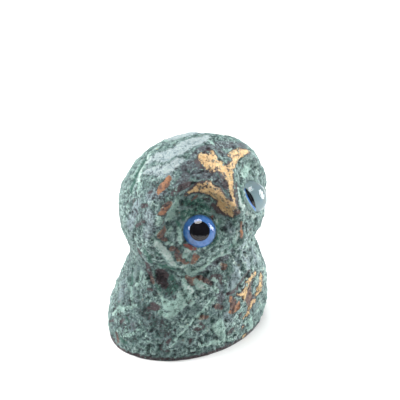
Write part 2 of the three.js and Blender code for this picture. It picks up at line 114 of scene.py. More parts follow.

# ---- Colour and relief laid on the skin ----
# Each line is a run of points on the skin, (x, y, z, reach), in millimetres. A zone's mask is one half at the
# reach and fades over the zone's softness to either side.
ZONES = {
    "gold": (0.9, [
        [(-4.8, -19.3, 57.8, 1.6), (-3.3, -21.3, 55.7, 1.6)],
        [(-3.2, -11.4, 66, 1.9), (-2.1, -13.9, 63.9, 1.9)],
        [(-2.5, -19.4, 53.2, 1.6), (-1.4, -22, 51.1, 1.6)],
        [(-11.8, -13.4, 57.2, 0.3), (-10.6, -14, 58.1, 0.6), (-9.2, -14.6, 58.6, 1), (-7.7, -15.1, 59, 1.5),
         (-6.2, -16.6, 58.8, 1.9), (-5.1, -18.7, 57.6, 2.3), (-3.3, -19.9, 55.4, 2.1),
         (-2.7, -22.1, 54.8, 1.9), (-2.1, -23.7, 53.9, 1.5)],
        [(-1.3, -23.8, 55.7, 0.5), (-1, -22.3, 57.4, 0.5), (-0.2, -20.8, 58.9, 0.7),
         (0.8, -18.7, 60.1, 1.2), (1.8, -16, 61.4, 1.9), (1.3, -14.1, 62.9, 1.6)],
        [(-3.6, -11.8, 65.6, 0.7), (-2, -12.4, 65.3, 1.6), (-0.6, -13.6, 64.3, 1.8),
         (1.1, -14.4, 62.7, 1.6)],
        [(0.5, -10.6, 66.5, 0.6), (-0.2, -12, 65.6, 1.3), (0.2, -13.5, 64.1, 1.3)],
        [(6, -12.2, 64.1, 0.6), (8.5, -12, 63.2, 1.8), (11.6, -11.2, 62.8, 1.6), (14.2, -10.6, 62.5, 0.8),
         (16.5, -9.4, 61.4, 0.3)],
        [(9.9, -11.8, 62, 1.6), (7.4, -12.9, 61.2, 1.3), (3.3, -16, 61.6, 1.5)],
        [(13.3, -19.9, 22, 0.5), (13.1, -20.1, 19.9, 1), (12.7, -20.4, 17.8, 1.2), (13.2, -19.5, 14.9, 1),
         (12, -19.9, 14.4, 0.5)],
        [(10.5, -20.6, 23.8, 0.5), (8.5, -21.4, 23.5, 0.7), (6.6, -21.8, 22.5, 0.8), (5.6, -22.1, 20.8, 1),
         (4.6, -22.2, 19.3, 1), (3.3, -22.4, 19.6, 0.6), (1.5, -22.5, 20.4, 0.3)],
        [(5.6, -22.1, 20, 0.8), (5.2, -22.1, 17.9, 0.6), (4.9, -22, 16.5, 0.3)],
        [(11.3, -20, 12.7, 0.7), (9.5, -20.6, 13.1, 1), (8.7, -20.6, 11, 1), (7.3, -20.8, 9.3, 0.7),
         (5.4, -21.1, 8.8, 0.3)],
        [(5.2, -21, 5.6, 0.5), (5.2, -20.9, 4.8, 0.3)],
        [(7.5, -20.3, 1.1, 0.5), (5.9, -20.6, 0.8, 0.5)],
    ]),
    "copper": (0.5, [
        [(-15, -9.3, 62, 0.8), (-16.5, -9.7, 60.7, 1.4), (-18.2, -9.4, 59.4, 1.1),
         (-19.1, -9.6, 58.4, 0.5)],
        [(2.1, -22.4, 16.6, 0.8), (1.8, -22.2, 15.1, 1), (1.5, -22.1, 14, 0.6)],
        [(-1, -22.1, 14.3, 0.6), (-1, -22.1, 13.9, 0.3)],
        [(-1, -22.5, 20.2, 0.5), (-1.4, -22.5, 18.9, 0.4)],
        [(-18.5, -13.2, 54.9, 0.5), (-20, -12.8, 53.2, 0.7), (-21.1, -12.1, 52.9, 0.4)],
        [(-12.6, -19.4, 38, 0.8), (-12.8, -19.2, 37.6, 0.5)],
        [(1.4, -24, 46.4, 0.3), (1.9, -23.9, 42.3, 0.5)],
    ]),
    "red": (0.4, [
        [(-15.6, -17.4, 42.4, 0.4), (-14.6, -18, 42, 0.6), (-13.6, -18.7, 41.3, 0.6),
         (-12.8, -19.2, 40.9, 0.4)],
        [(-3, -19.6, 54.9, 0.4), (-13.4, -19, 38.5, 0.3)],
    ]),
    "rust": (0.8, [
        [(-18, -13.2, 56.1, 0.8), (-19.1, -13, 54.7, 1.3), (-20, -12.8, 53.2, 1.1),
         (-20.8, -12.3, 52.9, 0.6)],
        [(-20.2, -13.5, 50.8, 0.3), (-20, -13.5, 47.6, 0.5), (-20.9, -13.8, 47, 1.2), (-21.7, -13.4, 46, 1),
         (-20.2, -14.2, 44.4, 0.6)],
        [(-19, -15.2, 41.6, 0.8), (-17.5, -16.3, 40.8, 0.7), (-16.7, -16.1, 37.6, 1.3),
         (-14.9, -16.4, 35.6, 1.1), (-13.2, -17.6, 35.2, 1), (-12.6, -19.4, 38, 1)],
        [(-2.4, -20.6, 31.1, 1.2), (-2.9, -20.2, 32.1, 0.6)],
        [(-13.3, -16.2, 29, 1), (-12.7, -17.5, 27.9, 1.3), (-10.7, -18.5, 29.1, 1), (-9.2, -19.6, 28.4, 1),
         (-7.6, -20.7, 26.8, 0.6)],
        [(-20.3, -5.7, 27.3, 0.5), (-20.3, -7.1, 25.7, 0.7)],
        [(1.4, -24, 47.5, 0.3), (2, -23.8, 41.5, 0.6)],
        [(-12.6, -19.8, 16, 0.6), (-9.6, -20.7, 15.2, 0.8)],
        [(-1.5, -23.1, 52, 1), (-0.5, -24.7, 52, 0.8), (-0.8, -24.2, 51.2, 0.6)],
        [(-1.4, -22.5, 20.4, 0.6), (-0.1, -22.5, 17.6, 1.3), (0.2, -22.2, 14.2, 1.3)],
        [(-6.4, -21.7, 18.6, 0.8), (-4.3, -22.2, 17.2, 0.8)],
        [(6.6, -21.8, 22.5, 1.6), (6.1, -21.9, 19, 1.8), (9, -20.7, 12.5, 1.6)],
        [(-28.9, 2.1, 4.8, 0.6), (-29.1, 0.8, 2.5, 0.8)],
        [(-9, -14.8, 56.2, 0.5), (-10.3, -14.5, 55.1, 0.4)],
    ]),
    "umber": (0.8, [
        [(-5.5, -11.3, 65.3, 1.2), (-5, -13.2, 63.8, 0.8), (-2.9, -14.5, 63, 0.6)],
        [(-1.9, -10.2, 66.8, 0.8), (0.3, -9.4, 67.2, 0.6)],
        [(-0.6, -15.5, 62.4, 0.8), (-0.9, -17.3, 61.1, 0.7), (-1.5, -19.6, 59.5, 0.9),
         (-1.7, -21.3, 58.3, 0.6)],
        [(-10.6, -13.9, 60.5, 1), (-13, -13.5, 60.1, 1.1), (-15.1, -13.3, 59.3, 1),
         (-16.7, -13, 58.7, 0.6)],
        [(-4.8, -17.9, 53, 0.6), (-3.8, -19.1, 51.4, 1), (-1.9, -20.7, 50, 0.8)],
        [(-5.8, -16.7, 54.5, 0.8), (-6.8, -15.9, 55.6, 0.5)],
        [(4.8, -13.7, 63, 0.5), (3.3, -14.6, 62.5, 0.5)],
        [(1.9, -18.3, 60.3, 0.4), (1.9, -18.7, 60.1, 0.3)],
        [(2.2, -20.3, 59.3, 0.4), (0.6, -22.3, 57.6, 0.4), (-0.3, -24.5, 54.3, 0.5)],
        [(-21, -5.1, 31.6, 0.9), (-20.3, -5.1, 29.2, 1.1), (-20.1, -6.4, 26.8, 0.8)],
        [(-18, -7.9, 28.9, 1.5), (-16.7, -9.3, 28, 1.2), (-18.5, -8.4, 26.4, 1.5),
         (-17.9, -10.2, 25.2, 1.3)],
        [(-24.3, -5.7, 38, 1), (-22.5, -4.6, 34.2, 0.8)],
        [(7.5, -21.6, 26.2, 0.6), (5.4, -21.7, 25.6, 0.6), (2.6, -22.6, 24.1, 0.7), (1.1, -22.5, 22, 0.7),
         (-2.1, -22.4, 21.8, 0.6)],
        [(15.1, -19.3, 20.2, 0.3), (17.2, -17.5, 13.8, 0.3), (17.7, -16.6, 8.4, 0.3)],
        [(9.2, -21.2, 22, 0.5), (8.2, -21.5, 19.8, 0.6), (8.4, -21.3, 17, 0.6)],
        [(10.3, -20.6, 15, 0.4), (6.7, -21.4, 13.9, 0.5)],
        [(4.1, -21.6, 11.9, 0.4), (3.9, -21.3, 9.5, 0.5)],
        [(-15.1, -18.5, 22.4, 0.8), (-14.4, -19.1, 21.6, 0.5)],
        [(0.9, -21.5, 6.9, 0.7), (-0.3, -21.4, 5.5, 1)],
        [(-9.3, -19.8, 27.4, 0.5), (-8.4, -20.1, 27.9, 0.6)],
        [(-6.6, -20.4, 28.9, 1), (-4.6, -21.4, 28.6, 1), (-4.2, -21.8, 26.4, 0.6)],
        [(-23, -6.5, 53.9, 0.8), (-22.4, -7.9, 54.6, 0.6)],
        [(-20.6, -6.4, 57.5, 0.5), (-20.2, -7, 58, 0.4)],
        [(-23.4, -1.2, 52, 0.5), (-22.5, -1.2, 53.8, 0.4)],
        [(-25.1, -6.1, 47.4, 0.6), (-24.3, -8.7, 50, 0.5)],
        [(-28.3, 0.3, 9.9, 0.5), (-27.8, -1.3, 11.3, 0.4)],
        [(-28.2, 4, 8.6, 0.5), (-27.3, 7.7, 5.5, 0.3)],
        [(-12.7, -19.4, 10.8, 1), (-10.5, -20.2, 11.5, 0.8), (-11.8, -19.9, 13.8, 0.5)],
        [(-14.2, -18.8, 7.3, 0.5), (-14.8, -18.6, 5.9, 0.4)],
        [(-20.9, -15.5, 7.6, 0.6), (-20.1, -16, 8.7, 0.5)],
        [(-22.6, -14, 4.8, 0.5), (-20.8, -15.3, 3.9, 0.5)],
        [(-22.4, -9.8, 19.3, 1), (-21.7, -11.5, 18.8, 1), (-23.5, -8.6, 17.9, 0.5)],
        [(-21.9, -6.7, 23.5, 0.6), (-21.3, -7.9, 23.5, 0.5)],
        [(21.5, -2, 29, 1.6), (23, 3, 22, 1.2)],
    ]),
    "slate": (1.2, [
        [(-5.5, -9.3, 66.5, 1), (-3.1, -8.7, 67.3, 1.1), (-0, -8.3, 67.6, 1), (2.9, -8.6, 67.1, 1.5),
         (6.3, -8.3, 66.6, 1.6), (9.5, -8.9, 65.5, 1.5), (13, -8.5, 64.3, 1.3), (17, -7.2, 62.2, 0.8)],
        [(3.7, -10.6, 65.9, 1.3), (4.7, -11.8, 64.7, 0.8)],
        [(-10, -10.2, 64.2, 1.3), (-7.7, -10.2, 65.2, 1.5), (-7.3, -12.6, 63.3, 1.9),
         (-5.2, -14.4, 62, 1.6), (-3.2, -15.8, 61.3, 1.3), (-2.2, -18, 60.1, 1), (-2.3, -20.1, 59, 0.5)],
        [(-10.7, -12.1, 62.5, 1.5), (-12.8, -12.8, 61.4, 1.4), (-14.8, -12.5, 60.6, 1)],
        [(-4.7, -17.8, 53.2, 0.6), (-3.3, -19.5, 50.7, 1)],
        [(-6, -21.6, 24.4, 1), (-4.7, -22.1, 20.8, 1.3), (-5.4, -22, 18.7, 1)],
        [(-1.4, -22.3, 37.7, 0.5), (2.8, -21.2, 32.7, 0.5)],
        [(-1.8, -20.9, 34.3, 1.3), (-5.7, -19.7, 32.6, 0.8), (-8.9, -18.7, 31.5, 0.8)],
        [(-2.7, -21.3, 46, 0.6), (-2.8, -21.9, 44.5, 0.5)],
        [(-27.2, -2.7, 12.6, 0.8), (-27.1, -5.3, 11.2, 0.8), (-27, -6.7, 10, 0.6)],
    ]),
    # Dark green crust in the hollows and under the cheeks' rims, which is also painted shade there.
    "deep": (0.9, [
        [(-14.3, -15.2, 50.1, 0.6), (-13.1, -14.6, 51.6, 1.1), (-11.6, -15.7, 51.5, 1.2),
         (-9.7, -16.3, 51.8, 1), (-7.6, -16.5, 52.9, 1.1), (-6.3, -17.9, 51.7, 0.6)],
        [(-11.8, -13.9, 54.3, 1), (-9.2, -15.1, 54.3, 1), (-7.2, -16, 54.7, 0.6)],
        [(-6, -21.5, 43.4, 0.5), (-7.2, -21.5, 42, 0.5), (-8.7, -21, 41.2, 0.4)],
        [(-4.3, -20.3, 47.9, 0.8), (-5.4, -20.7, 45.9, 0.6)],
        [(-1.4, -22.7, 39, 0.8), (0.7, -22.6, 38.5, 0.6)],
        [(-24.5, -9.3, 40.5, 0.8), (-23.7, -9.6, 37.8, 1), (-22.3, -9.1, 34.8, 0.7)],
        [(-19.7, -9.2, 32.8, 0.8), (-17.7, -10.2, 32.2, 1.2), (-16.3, -10.8, 31.2, 1),
         (-15.5, -11.9, 31, 0.6)],
        [(-22.2, -12.8, 39.9, 0.6), (-21, -13.1, 37.8, 0.5)],
        [(-15.7, -11, 27.7, 1), (-15.6, -12, 27, 0.8)],
        [(-16.1, -13.2, 25.6, 1.1), (-17.5, -12.9, 24.2, 1.3), (-17.5, -11.4, 24.9, 1)],
        [(-19.7, -8.5, 25, 0.6), (-19.6, -9.9, 23.9, 0.5)],
        [(-22, 1.8, 26.4, 0.5), (-23.3, 0.1, 23.3, 0.6), (-24.5, -0.8, 20.4, 0.5)],
        [(-8.9, 7.8, 62.8, 0.3), (-12.8, 5.7, 61.7, 0.5), (-16.7, 4.7, 59.2, 0.6), (-19.4, 3.6, 56.7, 0.5),
         (-21.4, 1.9, 54.6, 0.5)],
        [(3.1, -21.1, 58.6, 0.5), (1.8, -23.3, 56.5, 0.7), (1.7, -24.4, 54.3, 0.7)],
        [(-15.8, -14.6, 49.4, 0.6), (-16, -15.9, 46.5, 0.5)],
        [(-15.6, -17.2, 37.3, 0.3), (-13.9, -17.6, 35.8, 0.5)],
        [(-9.4, -16.8, 51.6, 0.5), (-6.7, -18.8, 50.2, 0.4)],
        [(-23.8, -8.5, 16.9, 0.5), (-22.4, -9.4, 19.8, 0.5)],
        [(-27.4, -1.8, 12.5, 0.6), (-27.4, -3.5, 11.9, 0.6)],
        [(-29, -0.4, 4.3, 0.8), (-28.7, -3.3, 3.8, 0.6)],
        [(19.4, -8.8, 28.7, 2.4), (20.6, -10.4, 34, 1.6)],
    ]),
    "mint": (0.8, [
        [(-23.6, -11.7, 44.9, 0.5), (-22.5, -12.8, 43.6, 1), (-21, -13.8, 41.3, 1.2),
         (-19.5, -14.3, 38.5, 1.2), (-18.1, -14.4, 35.8, 0.8), (-15.6, -13.1, 32.8, 0.7),
         (-14.3, -14.5, 33, 0.7), (-13.5, -16, 33.7, 0.5)],
        [(-14.7, -12.8, 56.2, 1), (-15.6, -12.5, 54, 1.4), (-16.9, -12.6, 52, 1.5),
         (-18.2, -12.8, 50.4, 1.1)],
        [(-21.1, -12.6, 51.4, 1.2), (-21.8, -12.5, 50.2, 1)],
        [(-16.3, -15.3, 47.4, 0.7), (-16.3, -16.2, 45, 0.8), (-16.3, -16.7, 43.4, 0.6)],
        [(-15, -18, 40.4, 1), (-15.7, -17.3, 37.8, 0.5)],
        [(-20, -14.5, 43.4, 0.5), (-18.6, -15.2, 43.2, 0.5)],
        [(-20.4, -14, 45.5, 0.3), (-18.1, -14, 47.8, 0.6)],
        [(-13, -15.4, 31.5, 0.8), (-12.4, -16.5, 30.3, 0.8), (-10.8, -17.6, 31.3, 0.8),
         (-8.9, -18.7, 33, 0.9), (-7.4, -20.3, 35, 0.8), (-5.4, -20.8, 36, 0.7), (-4.1, -21.7, 37.3, 0.9)],
        [(-11.6, -18.2, 28.2, 0.8), (-10.9, -19.2, 26.6, 1.3), (-9.2, -20.1, 26.4, 1)],
        [(-7.2, -21.1, 25.4, 0.8), (-6, -21.6, 24, 0.8)],
        [(-6.7, -20.5, 28.2, 0.6), (-5.9, -21, 27.4, 0.6)],
        [(-14.2, -14.9, 28, 0.8), (-14.1, -16.7, 26.6, 1), (-13.8, -17.8, 25.6, 1.3),
         (-14.7, -18, 24.2, 1.3), (-16.4, -17.6, 22.4, 1.8), (-18, -16.6, 20.3, 1.9),
         (-19.5, -14.5, 20.2, 1.8), (-20.1, -12.6, 21.3, 1)],
        [(-21.3, -12.6, 18, 0.8), (-20.3, -14.3, 17, 0.8), (-18.5, -16.2, 18.4, 1)],
        [(-20, -11.5, 22.2, 0.5), (-19.8, -13.2, 21.1, 1)],
        [(-16.8, -16.1, 23.7, 1), (-15.2, -16.7, 25.2, 0.8)],
        [(-23.9, -0.1, 21.7, 0.5), (-24.7, -1.7, 19.4, 0.7), (-25.5, -2.1, 17.3, 0.6)],
        [(-25.1, -4.3, 17.5, 0.5), (-26.3, -1.5, 15.4, 0.6), (-27.2, 2.3, 13, 1), (-27.5, 5.4, 9.9, 0.6)],
        [(-7.1, -21.5, 21.4, 0.8), (-8.7, -21.1, 20.3, 0.8), (-10.4, -20.7, 18.6, 1), (-12.3, -20, 16.7, 1),
         (-13.9, -19.5, 15.2, 0.9), (-14.9, -18.7, 12.9, 0.6), (-16.4, -18, 11.3, 0.5),
         (-17.9, -17.4, 9.7, 0.5), (-20, -16.5, 7.4, 0.4)],
        [(-5, -21.5, 11.4, 1.5), (-4, -21.4, 7.8, 1.6), (-6.3, -21.1, 10.2, 1.3), (-2.7, -21.4, 4.9, 1)],
        [(0.7, -21.3, 2.6, 0.6), (-3.5, -21.3, 3.3, 0.8), (-7.6, -20.8, 4.4, 0.8),
         (-11.4, -19.8, 4.7, 0.8)],
        [(6, -20.9, 6.4, 0.8), (9.2, -20.1, 6.2, 1), (10.9, -19.2, 1.9, 0.8), (7.9, -20.3, 3.3, 0.6)],
        [(16.5, -17.2, 7.2, 0.4), (13.5, -18.6, 6.8, 0.5)],
        [(-14.4, -19.1, 21.2, 0.6), (-13.4, -19.3, 22.1, 0.6)],
        [(2.5, -21.6, 10.2, 0.5), (4, -21.7, 12.4, 0.4)],
        [(13.2, -10.9, 57.1, 1), (11.3, -12.8, 55.6, 1.1), (16.2, -9.9, 56.4, 1)],
        [(-0.1, -23, 40.8, 0.6), (0.1, -23.3, 42.7, 0.6)],
        [(0.7, -22.5, 38.1, 0.3), (-0.1, -23, 41.1, 0.5)],
        [(0.5, -20.9, 34.1, 0.3), (2.2, -20.9, 30.5, 0.4)],
        [(-11.6, 5.2, 62.6, 0.5), (-15.7, 3.2, 60.5, 0.6), (-18.9, 1.1, 58.3, 0.7), (-21.3, -1.6, 56, 0.6)],
        [(-2.6, 9.4, 63.8, 0.5), (-3.7, 6.8, 64.8, 0.3)],
        [(3.2, -7.7, 67.4, 0.6), (3.4, -6, 67.7, 0.5)],
        [(-26.7, -7.3, 10.2, 0.5), (-27.8, -5.6, 8.2, 0.6), (-28.7, -2.8, 6.3, 0.6),
         (-28.4, -2.5, 9.1, 0.5)],
        [(-21.5, -4.5, 26, 0.6), (-21.5, -5.7, 25.1, 0.5)],
        [(-23.2, -2.4, 23.3, 0.6), (-21.3, -2.8, 27.7, 0.5)],
        [(-9.1, -19.4, 45.6, 0), (-10.2, -20.4, 40.8, 0.5)],
        [(20.3, -13.9, 20.3, 0.5), (17.4, -17.2, 20.8, 0.9), (13.4, -18.6, 24, 0.4)],
    ]),
    # Painted shade: these places are darkened where shade falls on them.
    "shade": (2.5, [
        [(-17.5, -1.7, 60.4, 1.9), (-18.3, -6.9, 60.1, 2.6), (-18.4, -10.1, 58.7, 1.6)],
        [(-26.6, 3.7, 13.9, 1.3), (-28.5, -0.4, 9.2, 1.3), (-28.1, -4.9, 7.2, 1.6)],
        [(-25.1, -2.2, 18.3, 2.9), (-24.7, -6, 17.1, 3.6), (-24, -10.3, 13.8, 3.2),
         (-21.2, -14.5, 11.8, 2.9)],
        [(-19, -10.2, 24.2, 1.6), (-17.5, -13.4, 24, 1)],
        [(-18.1, -8, 27.9, 1.9), (-18.1, -8, 27.9, 1.9)],
    ]),
    # Painted light: these places are brightened where light falls on them.
    "light": (2.0, [
        [(5.2, -22.1, 38.8, 1.3), (11.8, -17.8, 31.4, 1.6), (14.2, -18.7, 25.6, 1.3),
         (16.7, -18.4, 19.5, 1)],
        [(1.4, -21.9, 35, 1.3), (4.8, -21.3, 30.5, 1.6), (3.2, -21.7, 27.6, 1.3)],
        [(-4, -20.3, 47.8, 1.6), (-2.2, -22.1, 44.4, 1.6)],
        [(-14.9, -19.2, 16.2, 1), (-12.4, -19.6, 12.3, 1)],
        [(-21.2, 7.3, 51.1, 1), (-23.8, 3.2, 46.6, 1), (-24.5, -0.2, 41.2, 1)],
    ]),
    "pale": (0.7, [
        [(-23.4, -12, 44.5, 0.3), (-22.3, -13, 43.2, 0.8), (-21, -13.8, 41.3, 1), (-19.5, -14.3, 38.5, 1),
         (-18.1, -14.4, 35.8, 0.7), (-16, -13.2, 33.3, 0.5), (-14.3, -14.5, 33, 0.5),
         (-13.7, -15.7, 33.7, 0.3)],
        [(0.5, -20.9, 34.1, 0.3), (2.2, -20.9, 30.5, 0.4)],
        [(-4.2, -21.7, 37.8, 0.6), (-4.2, -21.7, 37.8, 0.6)],
        [(-13.7, -17.3, 26.4, 0.5), (-13.6, -18.1, 25.3, 0.7)],
        [(3.9, -22.2, 36.7, 0.5), (7.2, -19.9, 31.1, 0.6)],
        [(0.2, -23.5, 44.2, 0.5), (0.6, -23.2, 41, 0.5)],
        [(-12, 5.2, 62.4, 0.4), (-16, 3.4, 60.2, 0.6), (-18.9, 1.1, 58.3, 0.6)],
        [(1.9, -24.7, 53.3, 0.5), (7.4, -20.2, 46.9, 0.6), (9.7, -20.4, 44.7, 0.5)],
        [(1.9, -21.7, 58.3, 0.3), (0.9, -23.9, 55.4, 0.4), (1.3, -24.9, 52.2, 0.4)],
        [(-15, -18, 40.4, 0.6), (-15, -18, 40.4, 0.6)],
        [(-11.1, -18.9, 26.9, 0.6), (-9.8, -19.8, 26.1, 0.6)],
    ]),
    "blue": (2.6, [
        [(-20.9, -7.4, 57, 1.9), (-19.4, -9.5, 58.1, 1.5), (-17.9, -11, 58.6, 0.8)],
        [(-23.3, -9.5, 52.1, 1.9), (-23.7, -10.9, 48.4, 1.9), (-24.6, -10.1, 45.5, 1.3)],
        [(-23.3, -3.8, 53.1, 1.9), (-25, -2.2, 45.9, 1.9)],
        [(-14.5, -9.1, 62.5, 1.3), (-15.3, -5.1, 62.5, 1.6)],
        [(2.1, -21, 32.8, 0.8), (2.7, -21.4, 29.1, 1.5), (1.1, -22.4, 26.5, 1.6), (-0.9, -22.4, 24.7, 1.3)],
        [(6, -19.8, 33, 1.2), (6.9, -20.7, 29.4, 1.5), (7.7, -21.3, 27.1, 0.8)],
        [(2.8, -22.5, 37.3, 1), (5.2, -22.1, 38.8, 1.1)],
        [(-1.8, -21.6, 46.5, 1), (-1.4, -22.5, 44.6, 1)],
        [(-4, -22.2, 20.9, 0.6), (-4.2, -21.8, 25.3, 0.6)],
        [(-2.5, -22, 13.3, 1.2), (-0.6, -21.7, 10.9, 0.8)],
        [(-27.3, -4.5, 11.3, 0.8), (-27.3, -6, 9.8, 0.8)],
        [(-2.7, -15.2, 62.2, 0.6), (-4.8, -15.4, 61.2, 0.8)],
        [(10.9, -18.4, 31.2, 1.3), (11.5, -19.8, 27.2, 1)],
        [(-24.5, 6, 28, 3), (-27, 4, 18, 2.5)],
        [(20.5, 4, 50, 5), (14, 12, 44, 5), (-6, 20, 44, 4)],
    ]),
    "crown": (2.2, [
        [(-13, 3.3, 62.4, 1.6), (-11.3, 2.4, 63.6, 1.9), (-10.4, -1.6, 65, 2.9), (-6.7, -2.9, 66.4, 3.2),
         (-2.1, -2.9, 67.4, 2.9), (1.3, -3.6, 67.7, 2.3), (4.9, -3.1, 67.4, 1)],
        [(-16.7, 0.8, 60.5, 1), (-15.7, -1.5, 61.8, 1.6), (-14.5, -5.6, 63.1, 1.9), (-12.6, -7.6, 64, 1.6),
         (-9.4, -7.4, 65.6, 1.3)],
        [(2, 8, 65, 5), (8, 6, 64, 4)],
    ]),
}

# Small forms on the skin: height (down where negative), half-width, and the line that each follows.
MARKS = [
    (-0.4, 0.6, [(-7.9, 5.0, 64.4), (-12.0, 4.7, 62.6), (-15.8, 4.3, 60.1), (-19.0, 3.1, 57.5), (-21.4, 1.9, 54.6)]),
    (0.22, 0.8, [(-8.7, 6.6, 64.0), (-12.7, 6.2, 62.1), (-16.6, 5.7, 59.4), (-20.0, 4.4, 56.6)]),
    (0.5, 0.7, [(-24.3, -10.7, 44.6), (-23.2, -12.2, 43.5), (-22.0, -13.6, 41.6), (-20.1, -14.1, 38.6),
                (-16.6, -13.4, 34.0), (-13.3, -15.2, 32.2)]),
    (0.3, 0.55, [(-13.0, -15.8, 30.5), (-10.0, -18.1, 32.0), (-7.1, -20.4, 35.3), (-3.6, -21.9, 37.2),
                 (0.8, -22.5, 37.3)]),
    (0.32, 0.5, [(-9.0, -20.9, 21.1), (-12.5, -20.3, 17.7), (-15.4, -18.8, 13.6), (-18.9, -17.1, 9.5),
                 (-21.1, -15.7, 5.9)]),
    (-0.3, 0.5, [(-8.2, -21.2, 20.6), (-11.5, -20.5, 16.9), (-14.4, -19.0, 12.9), (-18.0, -17.4, 8.7)]),
    (0.24, 0.5, [(-7.1, -21.5, 19.9), (-10.3, -20.6, 15.8), (-13.3, -19.2, 12.1)]),
    (0.28, 0.6, [(4.3, -22.2, 16.7), (2.1, -21.9, 12.9), (-0.5, -21.6, 10.0), (-3.6, -21.4, 8.0)]),
    (0.26, 0.45, [(-24.3, -10.0, 40.4), (-22.3, -8.6, 34.6), (-19.5, -6.6, 27.8), (-19.5, -9.8, 24.1)]),
    (0.35, 1.0, [(-15.2, -9.4, 61.8), (-17.2, -9.6, 60.2), (-18.6, -9.9, 58.7)]),
    (0.3, 1.0, [(-18.1, -13.3, 55.5), (-20.0, -12.7, 53.5), (-21.0, -12.5, 52.0)]),
    (-0.8, 0.75, [(-2.7, -21.5, 45.5), (-2.5, -21.7, 45.2)]),
    (0.7, 0.9, [(-1.3, -22.5, 45.0), (-1.2, -22.5, 44.6)]),
    (0.3, 0.5, [(9.4, -20.9, 21.1), (13.4, -19.6, 16.0), (18.9, -16.8, 9.2)]),
]


def step(x, low, high):
    """Zero below low, one above high, and a smooth cubic between."""
    t = np.clip((x - low) / (high - low), 0, 1)
    return t * t * (3 - 2 * t)


def smooth_min(a, b, k):
    """The smaller of a and b, rounded over k where they meet."""
    return np.minimum(a, b) - np.maximum(k - np.abs(a - b), 0) ** 2 / (4 * k)


def smooth_max(a, b, k):
    """The larger of a and b, rounded over k where they meet."""
    return -smooth_min(-a, -b, k)


def bump(x):
    """A bell curve of height one: e to the power of minus x squared."""
    return np.exp(-x * x)


def length(v):
    """The length of each vector in an array."""
    return np.sqrt((v * v).sum(-1))


def row(values, z):
    """A smooth cubic curve through the rows' values, straight beyond the first and the last row."""
    slope = np.diff(values) / np.diff(ROW_Z)
    tangent = np.concatenate([slope[:1], (slope[1:] + slope[:-1]) / 2, slope[-1:]])
    i = np.clip(np.searchsorted(ROW_Z, z) - 1, 0, len(slope) - 1)
    h = np.diff(ROW_Z)[i]
    u = (z - ROW_Z[i]) / h
    t = np.clip(u, 0, 1)
    curve = ((2 * t**3 - 3 * t**2 + 1) * values[i] + (t**3 - 2 * t**2 + t) * h * tangent[i]
             + (3 * t**2 - 2 * t**3) * values[i + 1] + (t**3 - t**2) * h * tangent[i + 1])
    return curve + np.maximum(u - 1, 0) * h * tangent[-1] + np.minimum(u, 0) * h * tangent[0]


def bar(p, a, b, ra, rb):
    """Distance outside a rounded bar from a to b whose radius runs from ra to rb."""
    a, b = np.array(a, float), np.array(b, float)
    t = np.clip((p - a) @ (b - a) / ((b - a) @ (b - a)), 0, 1)
    return length(p - a - t[..., None] * (b - a)) - (ra + (rb - ra) * t)


def mound(p, at, reach):
    """A soft mound of height one: e to the power of minus the squared distance from at, measured in reaches."""
    return np.exp(-(((p - np.array(at)) / np.array(reach)) ** 2).sum(-1))


def head_axes():
    """The head's own axes as rows: x to the owl's left, y to the back, z up, turned and then tilted."""
    x = [math.cos(HEAD_TURN) * math.cos(HEAD_TILT), math.sin(HEAD_TURN) * math.cos(HEAD_TILT), math.sin(HEAD_TILT)]
    y = [-math.sin(HEAD_TURN), math.cos(HEAD_TURN), 0]
    return np.array([x, y, np.cross(x, y)])


def facing_axes(side, turn, lift):
    """The centre of a disc or its eye, and its outward, up and normal directions, in the head's axes."""
    level = math.cos(lift)
    normal = np.array([side * math.sin(turn) * level, -math.cos(turn) * level, math.sin(lift)])
    outward = np.array([side * math.cos(turn), math.sin(turn), 0])
    centre = np.array([side * EYE_SPACING / 2, EYE_FRONT, EYE_RISE])
    return centre, outward, np.cross(normal, outward) * side, normal


HEAD = head_axes()
DISCS = {"right": facing_axes(-1, DISC_TURN, DISC_LIFT), "left": facing_axes(1, DISC_TURN, DISC_LIFT)}
EYES = {"right": facing_axes(-1, EYE_TURN, EYE_LIFT), "left": facing_axes(1, EYE_TURN, EYE_LIFT)}


def disc_relief(out, up):
    """How high a disc's floor and its raised rims stand: a plate that climbs past its edge, less a crowned middle
    and a dip under the brow, and bell-shaped ridges along the brow, the cheek and the eyelid."""
    around = np.hypot(out / (DISC_WIDTH * (1 - 0.013 * np.clip(up, 0, 14))), (up - DISC_UP) / DISC_HEIGHT)
    floor = (7 * step(around, 0.8, 1.12) - (out * out + up * up) / (2 * DISC_CROWN_RADIUS)
             - bump((up - 8) / 3.2) * bump(out / 8) - 0.5 * bump((out + 7.5) / 3) * bump((up - 1) / 5))
    brow = BROW_HEIGHT * bump((around - 1.06) / 0.12) * step(up, 0.5, 6) * (1 - step(out, 5, 11))
    inner = step(out, -1, 3)
    cheek = (CHEEK_RIM_HEIGHT * bump((around - 1.09) / 0.055) * (1 - step(up, -3, 0)) * inner
             + 0.4 * bump((around - 0.99) / 0.07) * (1 - step(up, -9, -6)) * (1 - inner))
    return floor, brow + cheek + LID_HEIGHT * bump((np.hypot(out, up) - 6.1) / 0.8)


